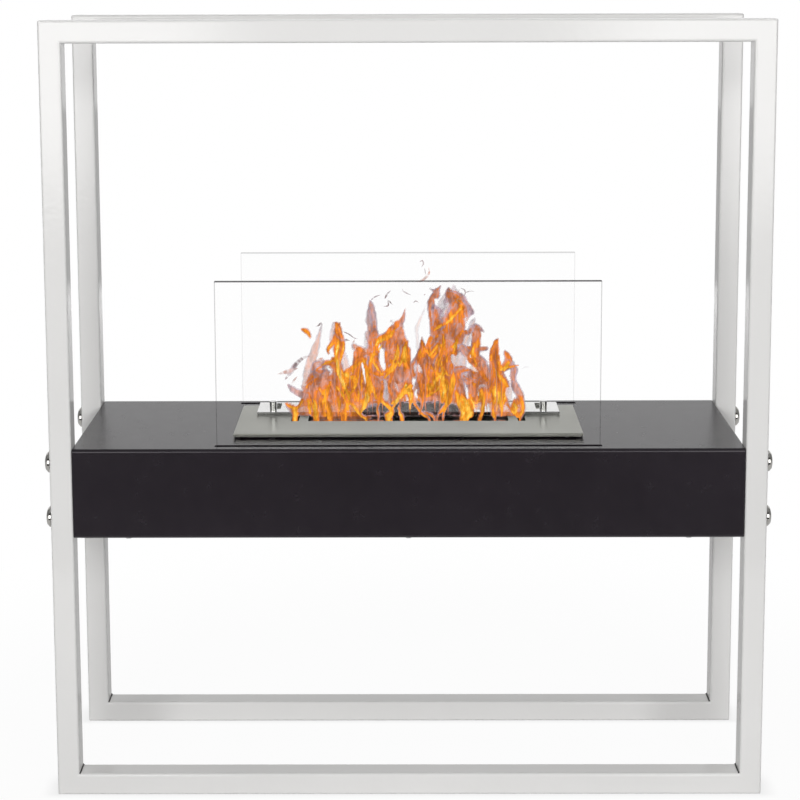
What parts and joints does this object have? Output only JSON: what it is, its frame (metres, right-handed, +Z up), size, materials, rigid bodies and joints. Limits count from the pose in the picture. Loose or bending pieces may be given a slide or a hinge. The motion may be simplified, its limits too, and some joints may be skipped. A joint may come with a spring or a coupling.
{
  "type": "bioethanol fireplace",
  "caption": "Freestanding bioethanol fireplace: a black box with a lidded burner and glass guards, carried between front and rear square-tube frame loops.",
  "frame": {"origin": "bottom centre of the whole object, on the floor under its middle", "axes": "+X right, +Y to the rear, +Z up; the front faces -Y"},
  "size_m": [0.812, 0.21, 0.88],
  "materials": {
    "frame_lacquer": "glossy silver-grey lacquer on steel tube",
    "black_coat": "black powder coat, satin, fine texture",
    "plated_steel": "zinc plated",
    "bolt_chrome": "polished chrome",
    "clear_glass": "clear tempered glass with ground edges",
    "liner_strip": "black silicone strip",
    "gasket_ring": "black heat-proof gasket",
    "burner_steel": "brushed stainless steel",
    "fuel_wool": "ceramic fibre wool",
    "lid_mirror": "mirror-polished stainless steel",
    "screw_steel": "bright stainless screw"
  },
  "bodies": {
    "frame_and_box": {"front_left_post": "frame_lacquer", "front_right_post": "frame_lacquer", "front_top_rail": "frame_lacquer", "front_bottom_rail": "frame_lacquer", "rear_left_post": "frame_lacquer", "rear_right_post": "frame_lacquer", "rear_top_rail": "frame_lacquer", "rear_bottom_rail": "frame_lacquer", "box_casing": "black_coat", "left_box_end": "black_coat", "right_box_end": "black_coat", "bottom_cover": "black_coat", "left_bolt_plate": "plated_steel", "right_bolt_plate": "plated_steel", "left_weld_nuts": "plated_steel", "right_weld_nuts": "plated_steel", "bottom_cover_screws": "plated_steel", "front_glass_channel": "plated_steel", "rear_glass_channel": "plated_steel", "left_side_bolts": "bolt_chrome", "right_side_bolts": "bolt_chrome", "front_glass_liner": "liner_strip", "rear_glass_liner": "liner_strip", "burner_gasket": "gasket_ring"},
    "burner": {"burner_cover_plate": "burner_steel", "burner_tank": "burner_steel", "fuel_tray": "burner_steel", "fuel_wool": "fuel_wool"},
    "lid": {"sliding_lid": "lid_mirror", "left_lid_knob": "lid_mirror", "right_lid_knob": "lid_mirror", "lid_knob_screws": "screw_steel"},
    "front_pane": {"front_glass": "clear_glass"},
    "rear_pane": {"rear_glass": "clear_glass"}
  },
  "joints": [
    {"name": "lid_slide", "type": "slide", "parent": "burner", "child": "lid", "axis": [0, -1, 0], "range_m": [0, 0.036]},
    {"name": "burner_lift", "type": "slide", "parent": "frame_and_box", "child": "burner", "axis": [0, 0, 1], "range_m": [0, 0.1]},
    {"name": "front_glass_lift", "type": "slide", "parent": "frame_and_box", "child": "front_pane", "axis": [0, 0, 1], "range_m": [0, 0.06]},
    {"name": "rear_glass_lift", "type": "slide", "parent": "frame_and_box", "child": "rear_pane", "axis": [0, 0, 1], "range_m": [0, 0.06]}
  ]
}
